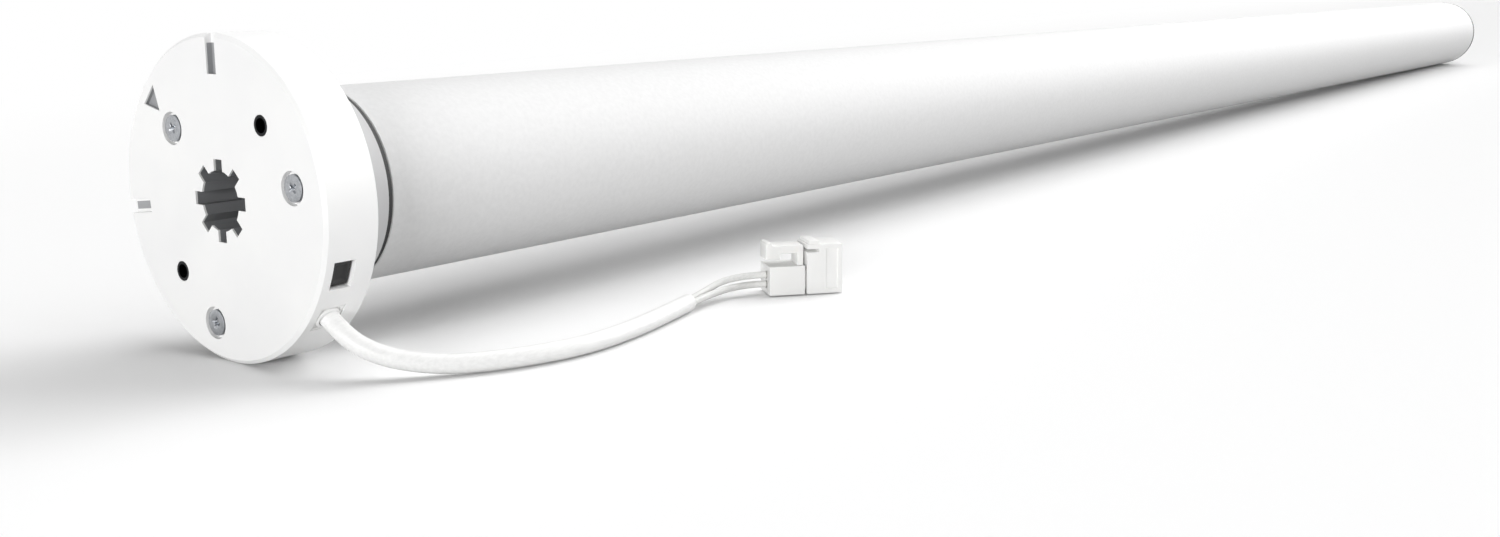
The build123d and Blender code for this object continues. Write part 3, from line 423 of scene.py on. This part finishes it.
# PVC shrink sleeve in blue: glossy, with fine wrinkles
finishes["cell_sleeve"] = extruded("shrunk_blue_pvc", "#2A4E8E", "#3560A5", 0.28, 1.2)
print("all finishes", sorted(finishes))

# %% [markdown]
# ## Dressing the CAD pieces
# Each CAD node names the material slot that it belongs to. A node keeps its mesh and gets the
# finish of its slot.

# %% Give each node its finish
slots = {entry["node"]: entry["material_slot"] for entry in frame["record"]["subparts"]}
for node_name, node in frame["nodes"].items():
    node.data.materials.clear()
    node.data.materials.append(finishes[slots[node_name]])
print("dressed", len(slots))

# %% [markdown]
# ## Painted shade in the face's marks
# The two rim slots and the pointer get a mid grey in their recesses: painted shade, which stands in
# for the shade that falls into these notches. It lies only in the recesses: the mask asks how deep
# a point is behind the face, and whether it is within a mark's length and width once the pattern is
# turned to that mark's bearing.
# A Compare node gives 1 within a range.

# %% Paint shade into the marks
# painted shade: how deep behind the face, in millimetres, the shaded grey starts and stops
shade_near, shade_far = 0.25, 1.2
marks = [
    # Bearing in degrees; inner end, outer end and width in millimetres
    (90, 16.6, 20.7, 2.1),
    (-7, 16.6, 21.7, 1.1),
    (41.5, 16.8, 20.2, 3.7),
]
head_white = finishes["white_plastic"].copy()
head_white.name = "moulded_white_abs_with_painted_shade"
marks_tree = head_white.node_tree
marks_shader = next(node for node in marks_tree.nodes if node.type == "BSDF_PRINCIPLED")
bare_white = marks_shader.inputs["Base Color"].links[0].from_socket
mark_place = add(marks_tree, "ShaderNodeTexCoord").outputs["Object"]


def mark_mask(bearing, inner_mm, outer_mm, width_mm):
    """1 in the recess of one mark, or else 0."""
    turning = {"Rotation": (math.radians(-bearing), 0.0, 0.0)}
    turned_place = add(marks_tree, "ShaderNodeMapping", turning, {"Vector": mark_place})
    sides = add(marks_tree, "ShaderNodeSeparateXYZ", links={0: turned_place.outputs[0]}).outputs
    ranges = [(shade_near, shade_far), (inner_mm, outer_mm), (-width_mm / 2, width_mm / 2)]
    masks = []
    for side, (low_mm, high_mm) in zip(sides, ranges):
        middle, reach = (low_mm + high_mm) / 2 * MM, (high_mm - low_mm) / 2 * MM
        settings = {"operation": "COMPARE", 1: middle, 2: reach}
        masks.append(add(marks_tree, "ShaderNodeMath", settings, {0: side}).outputs[0])
    whole, *others = masks
    for mask in others:
        both = {0: whole, 1: mask}
        whole = add(marks_tree, "ShaderNodeMath", {"operation": "MULTIPLY"}, both).outputs[0]
    return whole


painted, *other_masks = [mark_mask(*mark) for mark in marks]
for mask in other_masks:
    either = {0: painted, 1: mask}
    painted = add(marks_tree, "ShaderNodeMath", {"operation": "MAXIMUM"}, either).outputs[0]
shade_tint = add(marks_tree, "ShaderNodeMix", {"data_type": "RGBA"}, {0: painted, 6: bare_white})
# painted shade: this mid grey stands in for the shade inside the slots and the pointer
shade_tint.inputs[7].default_value = linear("#98999B")
marks_tree.links.new(shade_tint.outputs[2], marks_shader.inputs["Base Color"])
head_shell_materials = frame["nodes"]["head_shell"].data.materials
head_shell_materials.clear()
head_shell_materials.append(head_white)
print("marks painted", len(marks))

# %% [markdown]
# ## Modelling
# The small visible pieces are modelled here, because a moulded or stamped edge is never sharp and
# its shine is what shows at this size. Each piece starts as a primitive in a small frame of its
# own, in millimetres: Z is its outward side. Faces are picked by their place or normal and then
# extruded, inset or bevelled. The finished piece is turned into its place, and the turn is
# applied, so its object stays at the origin.

# %% Helpers to start a piece and pick its faces
NEAR = 0.01


def in_metres(place):
    """A place in millimetres turned to metres."""
    return [value * MM for value in place]


def activate(piece):
    """Makes one piece the only selected and the active one."""
    bpy.ops.object.select_all(action="DESELECT")
    piece.select_set(True)
    bpy.context.view_layer.objects.active = piece


def keep(name):
    """Applies the new primitive's place and names it."""
    piece = bpy.context.object
    piece.name = name
    bpy.ops.object.transform_apply(location=True, rotation=True, scale=True)
    return piece


def new_box(name, size, middle):
    """A box by its size and middle, in millimetres."""
    bpy.ops.object.select_all(action="DESELECT")
    bpy.ops.mesh.primitive_cube_add(size=MM, location=in_metres(middle), scale=size)
    return keep(name)


def new_rod(name, radius, length, middle):
    """A round bar along Z by its radius, length and middle, in millimetres."""
    bpy.ops.object.select_all(action="DESELECT")
    bpy.ops.mesh.primitive_cylinder_add(
        vertices=48, radius=radius * MM, depth=length * MM, location=in_metres(middle)
    )
    return keep(name)


def edit(piece):
    """Opens one piece for editing."""
    activate(piece)
    bpy.ops.object.mode_set(mode="EDIT")
    bpy.ops.mesh.select_mode(type="FACE")
    bpy.ops.mesh.select_all(action="DESELECT")


def close():
    """Leaves editing with the faces turned outwards."""
    bpy.ops.mesh.select_all(action="SELECT")
    bpy.ops.mesh.normals_make_consistent(inside=False)
    bpy.ops.object.mode_set(mode="OBJECT")


def pick(piece, side, where=None):
    """Selects the faces that look to a side, such as "+x", "-x", or "x" for both.

    Their middle, in millimetres, also has to pass a test, if one is given.
    """
    bpy.ops.mesh.select_all(action="DESELECT")
    shape = bmesh.from_edit_mesh(piece.data)
    for face in shape.faces:
        along = face.normal["xyz".index(side[-1])]
        facing = {"+": along, "-": -along}.get(side[0], abs(along))
        if facing > 0.9 and (where is None or where(face.calc_center_median() / MM)):
            face.select_set(True)
    bmesh.update_edit_mesh(piece.data)


print("first modelling helpers ready")

# %% Helpers to shape the picked faces


def pull(x=0.0, y=0.0, z=0.0):
    """Extrudes the picked faces by a step in millimetres."""
    bpy.ops.mesh.extrude_region_move(TRANSFORM_OT_translate={"value": in_metres((x, y, z))})


def spread(width):
    """Extrudes each picked face outwards, by a width in millimetres."""
    bpy.ops.mesh.extrude_faces_move(TRANSFORM_OT_shrink_fatten={"value": width * MM})


def inset(width):
    """Insets the picked faces by a width in millimetres."""
    bpy.ops.mesh.inset(thickness=width * MM)


def lift(height):
    """Moves the picked faces along Z by a height in millimetres."""
    bpy.ops.transform.translate(value=(0.0, 0.0, height * MM))


def taper(x, y):
    """Scales the picked faces about their middle."""
    bpy.ops.transform.resize(value=(x, y, 1.0))


def slice_at(place, normal):
    """Cuts the whole mesh along a plane, in millimetres."""
    bpy.ops.mesh.select_all(action="SELECT")
    bpy.ops.mesh.bisect(plane_co=in_metres(place), plane_no=normal)


print("shaping helpers ready")

# %% Helpers to cut, round, join, seat and hand in a piece
SMOOTH_ANGLE = math.radians(35)


def cut(piece, cutter):
    """Takes one closed piece out of another."""
    activate(piece)
    hollow = piece.modifiers.new("hollow", "BOOLEAN")
    hollow.operation = "DIFFERENCE"
    hollow.solver = "EXACT"
    hollow.object = cutter
    bpy.ops.object.modifier_apply(modifier=hollow.name)
    bpy.data.objects.remove(cutter)


def soften(piece, width, segments=2):
    """Rounds the sharp edges by a width in millimetres and shades the rest smooth."""
    activate(piece)
    rounding = piece.modifiers.new("rounding", "BEVEL")
    rounding.width = width * MM
    rounding.segments = segments
    rounding.limit_method = "ANGLE"
    rounding.angle_limit = SMOOTH_ANGLE
    bpy.ops.object.modifier_apply(modifier=rounding.name)
    bpy.ops.object.shade_smooth_by_angle(angle=SMOOTH_ANGLE)


def merge(name, pieces):
    """Joins pieces into one."""
    bpy.ops.object.select_all(action="DESELECT")
    for piece in pieces:
        piece.select_set(True)
    bpy.context.view_layer.objects.active = pieces[0]
    bpy.ops.object.join()
    pieces[0].name = name
    return pieces[0]


def seat(piece, place, x_side, z_side):
    """Puts a piece in its place, in millimetres, with its X and Z turned to two directions."""
    x_side, z_side = Vector(x_side).normalized(), Vector(z_side).normalized()
    turn = Matrix((x_side, z_side.cross(x_side), z_side)).transposed().to_4x4()
    activate(piece)
    piece.matrix_world = Matrix.Translation(in_metres(place)) @ turn
    bpy.ops.object.transform_apply(location=True, rotation=True, scale=True)


def hand_in(piece, body, slot_name, *replaced):
    """Gives a piece its finish, its body and the nodes that it stands for."""
    piece.data.materials.clear()
    piece.data.materials.append(finishes[slot_name])
    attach(piece, body)
    if replaced:
        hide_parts(*replaced)
    print(piece.name, "faces", len(piece.data.polygons))


def outward(bearing):
    """The direction away from the motor's axis at a bearing, which counts from +Y towards +Z."""
    return (0.0, math.cos(math.radians(bearing)), math.sin(math.radians(bearing)))


print("last modelling helpers ready")

# %% [markdown]
# ## Screws in the face
# The motor head's three screws are small zinc-plated steel ones with a flat top and a cross
# recess, sunk in round pockets. Such a screw is formed cold, so its rim is slightly rounded, and
# its cross is punched: it tapers as it goes down. One is modelled and copied twice, and each is
# turned to another angle, as screws end up when they are driven by hand.

# %% Model one screw
screw_head_radius, screw_head_height = 1.8, 0.8
screw_shank_radius, screw_length = 1.1, 5.6
screw_tip_length, screw_tip_share = 0.6, 0.45
screw_crown_inset, screw_crown_height = 0.5, 0.06
blade_size, blade_middle, blade_taper = (2.1, 0.52, 1.0), (0.0, 0.0, -0.05), (0.45, 0.6)
face_screw = new_rod(
    "face_screw", screw_head_radius, screw_head_height, (0.0, 0.0, -screw_head_height / 2)
)
edit(face_screw)
pick(face_screw, "-z")
inset(screw_head_radius - screw_shank_radius)
pull(z=screw_head_height - screw_length + screw_tip_length)
pull(z=-screw_tip_length)
taper(screw_tip_share, screw_tip_share)
pick(face_screw, "+z")
inset(screw_crown_inset)
lift(screw_crown_height)
close()
for cross_turn in (0.0, math.pi / 2):
    blade = new_box("blade", blade_size, blade_middle)
    edit(blade)
    pick(blade, "-z")
    taper(*blade_taper)
    close()
    blade.rotation_euler.z = cross_turn
    bpy.ops.object.transform_apply(location=True, rotation=True, scale=True)
    cut(face_screw, blade)
soften(face_screw, width=0.07)
print("screw faces", len(face_screw.data.polygons))

# %% Copy and seat the screws
screw_sink = 0.1
screw_seats = [
    # Bearing in degrees, distance from the axis in millimetres, and the cross's turn in degrees
    (42, 13.464, 20),
    (169, 15.994, 62),
    (-80, 17.182, 8),
]
screws = [face_screw]
while len(screws) < len(screw_seats):
    activate(face_screw)
    bpy.ops.object.duplicate(linked=False)
    screws.append(bpy.context.object)
for screw, (bearing, distance, turn) in zip(screws, screw_seats):
    side = outward(bearing)
    place = (screw_sink, distance * side[1], distance * side[2])
    seat(screw, place, outward(bearing + turn), (-1.0, 0.0, 0.0))
face_screws = merge("face_screws", screws)
hand_in(face_screws, "housing", "steel_screw", "head_screws")

# %% [markdown]
# ## Setting button
# The button is a small black nylon cap that a fingertip or a pin presses. Its top is dished, so
# the tip doesn't slip, and its edges are rounded. Under the cap a flange keeps it from falling
# out, and a stem reaches the switch.

# %% Model the button
button_length, button_width = 3.0, 3.6
button_top, button_rim_top, button_rim_base = 21.4, 19.8, 19.0
button_flange = 0.65
button_lip, button_dish_slope, button_dish_depth = 0.45, 0.35, 0.3
button_stem_radius, button_stem_length, button_stem_drop = 0.8, 1.6, 0.7
button_place, button_bearing = 3.4, -158.6
button_cap = new_box(
    "button_cap",
    (button_length, button_width, button_top - button_rim_base),
    (0.0, 0.0, (button_top + button_rim_base) / 2),
)
edit(button_cap)
slice_at((0.0, 0.0, button_rim_top), (0.0, 0.0, 1.0))
pick(button_cap, "y", lambda middle: middle.z < button_rim_top)
spread(button_flange)
close()
edit(button_cap)
pick(button_cap, "+z", lambda middle: middle.z > button_top - NEAR)
inset(button_lip)
inset(button_dish_slope)
lift(-button_dish_depth)
close()
soften(button_cap, width=0.18, segments=3)
stem_middle = (0.0, 0.0, button_rim_base - button_stem_drop)
button_stem = new_rod("button_stem", button_stem_radius, button_stem_length, stem_middle)
soften(button_stem, width=0.1)
button_cap = merge("button_cap", [button_cap, button_stem])
seat(button_cap, (button_place, 0.0, 0.0), (1.0, 0.0, 0.0), outward(button_bearing))
hand_in(button_cap, "button", "black_plastic", "setting_button")

# %% [markdown]
# ## Grommet
# The cable leaves the head's side through a soft grommet: a block of PVC with rounded corners,
# held in the wall by a lip, with a raised bead round the cable that stops a sharp bend. The hole
# is cut with a rod of the cable's size.

# %% Model the grommet
grommet_length, grommet_width = 3.7, 4.2
grommet_foot, grommet_top = 18.6, 21.88
grommet_lip_top, grommet_lip = grommet_foot + 1.0, 0.45
grommet_rim, grommet_hollow = 0.3, 0.2
bead_radius, bead_length, bead_drop, bead_height = 1.75, 2.0, 0.9, 0.12
cable_place, cable_bearing = 3.5, -140
grommet = new_box(
    "soft_grommet",
    (grommet_length, grommet_width, grommet_top - grommet_foot),
    (0.0, 0.0, (grommet_foot + grommet_top) / 2),
)
edit(grommet)
slice_at((0.0, 0.0, grommet_lip_top), (0.0, 0.0, 1.0))
pick(grommet, "y", lambda middle: middle.z < grommet_lip_top)
spread(grommet_lip)
pick(grommet, "+z", lambda middle: middle.z > grommet_top - NEAR)
inset(grommet_rim)
pull(z=-grommet_hollow)
close()
bead = new_rod("bead", bead_radius, bead_length, (0.0, 0.0, grommet_top - bead_drop))
edit(bead)
pick(bead, "+z")
inset(grommet_rim)
lift(bead_height)
close()
soften(grommet, width=0.15)
soften(bead, width=0.1)
hole_radius, hole_length, hole_middle = cable_radius / MM + 0.01, 8.0, (0.0, 0.0, grommet_top - 1.0)
for part in (grommet, bead):
    cut(part, new_rod("cable_hole", hole_radius, hole_length, hole_middle))
grommet = merge("soft_grommet", [grommet, bead])
bpy.ops.object.shade_smooth_by_angle(angle=SMOOTH_ANGLE)
seat(grommet, (cable_place, 0.0, 0.0), (1.0, 0.0, 0.0), outward(cable_bearing))
hand_in(grommet, "housing", "cable_white", "cable_grommet")

# %% [markdown]
# ## Plug and collar
# The cable ends in a small two-pole connector of natural nylon. The plug takes the two cores one
# above the other and has a latch: a springy arm that stands up from the plug's nose end and lies
# back over it, with a thick end and a rib for the thumb. The collar is pushed over the nose and
# has a shallow window in each side, and a groove under its top edge where the latch catches. Both
# are moulded, so every edge is round.

# %% Model the plug
plug_length, plug_height, connector_width = 5.8, 4.6, 6.0
nose_wall, nose_end = 0.8, 11.2
back_rim, back_depth = 0.55, 0.12
core_hole_size, core_hole_place, core_heights = (2.0, 1.5, 1.25), 0.6, (1.4, 2.9)
plug_body = new_box(
    "plug_housing",
    (plug_length, connector_width, plug_height),
    (plug_length / 2, 0.0, plug_height / 2),
)
edit(plug_body)
pick(plug_body, "+x")
inset(nose_wall)
pull(x=nose_end - plug_length)
pick(plug_body, "-x")
inset(back_rim)
pull(x=back_depth)
close()
for height in core_heights:
    cut(plug_body, new_box("core_hole", core_hole_size, (core_hole_place, 0.0, height)))
soften(plug_body, width=0.22, segments=3)
print("plug faces", len(plug_body.data.polygons))

# %% Model the latch
latch_foot, latch_low, latch_high, latch_width = 4.2, 6.5, 7.8, 3.8
latch_post, latch_steps = 1.0, (2.8, 1.3, 1.1)
thumb_start, thumb_drop = 1.9, 0.9
rib_start, rib_height, rib_top_share = 0.6, 0.5, 0.75
latch = new_box(
    "latch",
    (latch_post, latch_width, latch_high - latch_foot),
    (plug_length - latch_post / 2, 0.0, (latch_high + latch_foot) / 2),
)
edit(latch)
slice_at((0.0, 0.0, latch_low), (0.0, 0.0, 1.0))
pick(latch, "-x", lambda middle: middle.z > latch_low)
for step in latch_steps:
    pull(x=-step)
pick(latch, "-z", lambda middle: middle.x < thumb_start and middle.z > latch_foot + NEAR)
pull(z=-thumb_drop)
pick(latch, "+z", lambda middle: middle.x < rib_start)
pull(z=rib_height)
taper(rib_top_share, 1.0)
close()
soften(latch, width=0.16)
plug_body = merge("plug_housing", [plug_body, latch])
bpy.ops.object.shade_smooth_by_angle(angle=SMOOTH_ANGLE)
print("plug and latch faces", len(plug_body.data.polygons))

# %% Model the collar
collar_start, collar_end, collar_height = 6.15, 12.0, 8.0
ridge_end, ridge_inset, ridge_height = 8.55, 0.35, 0.5
window_frame, window_depth = 0.75, 0.18
nose_room_size, nose_room_middle = (5.1, 4.5, 3.1), (8.65, 0.0, 2.3)
groove_size, groove_middle = (2.0, connector_width + 1.0, 0.5), (collar_start + 0.95, 0.0, 7.0)
mouth_size = (2.0, 0.75, 0.75)
collar = new_box(
    "collar_housing",
    (collar_end - collar_start, connector_width, collar_height),
    ((collar_start + collar_end) / 2, 0.0, collar_height / 2),
)
edit(collar)
slice_at((ridge_end, 0.0, 0.0), (1.0, 0.0, 0.0))
pick(collar, "+z", lambda middle: middle.x < ridge_end)
inset(ridge_inset)
pull(z=ridge_height)
for side, inwards in (("-y", window_depth), ("+y", -window_depth)):
    pick(collar, side, lambda middle: middle.x > ridge_end)
    inset(window_frame)
    pull(y=inwards)
close()
cut(collar, new_box("nose_room", nose_room_size, nose_room_middle))
cut(collar, new_box("catch_groove", groove_size, groove_middle))
for height in core_heights:
    cut(collar, new_box("mouth", mouth_size, (collar_end, 0.0, height)))
soften(collar, width=0.2, segments=3)
print("collar faces", len(collar.data.polygons))

# %% Seat the plug and the collar
connector_corner, connector_turn = (75.777, -33.46, -20.95), math.radians(-38.75)
connector_along = (math.cos(connector_turn), math.sin(connector_turn), 0.0)
for piece, replaced in ((plug_body, "connector_plug"), (collar, "connector_collar")):
    seat(piece, connector_corner, connector_along, (0.0, 0.0, 1.0))
    hand_in(piece, "housing", "connector_plastic", replaced)

# %% [markdown]
# ## The cable and its cores
# The two cores are only 18 mm long, and go with the plug.

for lead, slot_name, replaced in (
    (cable, "cable_white", "power_cable"),
    (plug_cores, "wire_white", "connector_wires"),
):
    lead.data.materials.append(finishes[slot_name])
    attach(lead, "housing")
    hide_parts(replaced)

# %% [markdown]
# ## Floor
# The motor lies on its head and on its far end, so the floor leans by 0.69 degrees in the motor's
# own frame. The floor is plain and pale. For the camera and in reflections its colour goes up
# nearly to white, as in a cut-out on a white page, while the object's soft shadow on it stays.
# Well behind the motor it fades into a plain white backdrop.

# %% Make the floor
floor_size, floor_height, floor_tilt = 8.0, -0.0221, math.radians(0.69)
bpy.ops.object.select_all(action="DESELECT")
bpy.ops.mesh.primitive_plane_add(size=floor_size, location=(0.0, 0.0, floor_height))
floor = bpy.context.object
floor.name = "studio_floor"
floor.rotation_euler = (0.0, -floor_tilt, 0.0)
floor_material, floor_tree, floor_shader, floor_place = begin("matt_white_paper")
seen = add(floor_tree, "ShaderNodeLightPath").outputs
either = {0: seen["Is Camera Ray"], 1: seen["Is Glossy Ray"]}
straight = add(floor_tree, "ShaderNodeMath", {"operation": "MAXIMUM"}, either).outputs[0]
paper = add(floor_tree, "ShaderNodeMix", {"data_type": "RGBA"}, {0: straight})
paper.inputs[6].default_value = (0.60, 0.60, 0.60, 1.0)
paper.inputs[7].default_value = (0.97, 0.97, 0.97, 1.0)
floor_tree.links.new(paper.outputs[2], floor_shader.inputs["Base Color"])
floor_shader.inputs["Roughness"].default_value = 0.6
floor_shader.inputs["Specular IOR Level"].default_value = 0.0
print("floor", floor.name)

# %% Fade the floor into the backdrop
fade_start, fade_end = 0.08, 0.4
behind = add(floor_tree, "ShaderNodeSeparateXYZ", links={0: floor_place}).outputs[1]
fade_settings = {"interpolation_type": "SMOOTHSTEP", 1: fade_start, 2: fade_end}
fade = add(floor_tree, "ShaderNodeMapRange", fade_settings, {0: behind}).outputs[0]
both = {0: straight, 1: fade}
backdrop = add(floor_tree, "ShaderNodeMath", {"operation": "MULTIPLY"}, both).outputs[0]
white = add(floor_tree, "ShaderNodeEmission", {"Strength": 1.0})
page_links = {0: backdrop, 1: floor_shader.outputs[0], 2: white.outputs[0]}
page = add(floor_tree, "ShaderNodeMixShader", links=page_links)
floor_output = next(node for node in floor_tree.nodes if node.type == "OUTPUT_MATERIAL")
floor_tree.links.new(page.outputs[0], floor_output.inputs["Surface"])
floor_material.cycles.emission_sampling = "NONE"
floor.data.materials.append(floor_material)
print("backdrop from", fade_start, "to", fade_end)

# %% [markdown]
# ## Light
# The object lies in a pale room. The world is white where it is seen or mirrored, and gives only a
# little light of its own. Two wide distant lamps stand low beyond the motor's far end, as tall
# windows would: they throw the head's shadow towards the near left and leave the tube's lower side
# dark. Two more come from the ceiling, and one soft lamp in front of the head fills its face.

# %% Light from the world
WORLD_LIGHT = 0.04
world = bpy.data.worlds.new("studio")
bpy.context.scene.world = world
world.use_nodes = True
sky_tree = world.node_tree
sky_tree.nodes.clear()
rays = add(sky_tree, "ShaderNodeLightPath").outputs
shown = rays["Is Camera Ray"]
for ray in ("Is Transmission Ray", "Is Glossy Ray"):
    either = {0: shown, 1: rays[ray]}
    shown = add(sky_tree, "ShaderNodeMath", {"operation": "MAXIMUM"}, either).outputs[0]
strength = add(sky_tree, "ShaderNodeMapRange", {3: WORLD_LIGHT, 4: 1.0}, {0: shown})
sky_links = {"Strength": strength.outputs[0]}
sky = add(sky_tree, "ShaderNodeBackground", {"Color": (1.0, 1.0, 1.0, 1.0)}, sky_links)
add(sky_tree, "ShaderNodeOutputWorld", links={"Surface": sky.outputs[0]})
print("world", world.name)

# %% Light from the lamps
LAMP_WIDTH = math.radians(50)


def distant(name, tilt, bearing, strength):
    """A wide distant lamp by its tilt from straight above and its bearing, in degrees.

    The bearing is the side that the light comes from, and counts from +X towards +Y.
    """
    lamp = bpy.data.lights.new(name, "SUN")
    lamp.energy = strength
    lamp.angle = LAMP_WIDTH
    source = bpy.data.objects.new(name, lamp)
    bpy.context.scene.collection.objects.link(source)
    source.rotation_euler = (0.0, math.radians(tilt), math.radians(bearing))


def softbox(name, place, aim, width, height, power):
    """A soft rectangular lamp at a place, turned to a point."""
    lamp = bpy.data.lights.new(name, "AREA")
    lamp.shape = "RECTANGLE"
    lamp.size = width
    lamp.size_y = height
    lamp.energy = power
    box = bpy.data.objects.new(name, lamp)
    bpy.context.scene.collection.objects.link(box)
    box.location = place
    box.rotation_euler = (Vector(aim) - Vector(place)).to_track_quat("-Z", "Y").to_euler()


distant("far_window_back", 65, 0, 0.82)
distant("far_window_front", 65, -30, 2.07)
distant("ceiling_front", 25, 0, 1.05)
distant("ceiling_back", 25, 90, 0.56)
softbox("face_fill", (-2.15, -0.9, 0.32), aim=(0.0, 0.0, 0.0), width=1.0, height=0.8, power=48.0)
bpy.context.scene.view_settings.view_transform = "Standard"
print("lamps set")
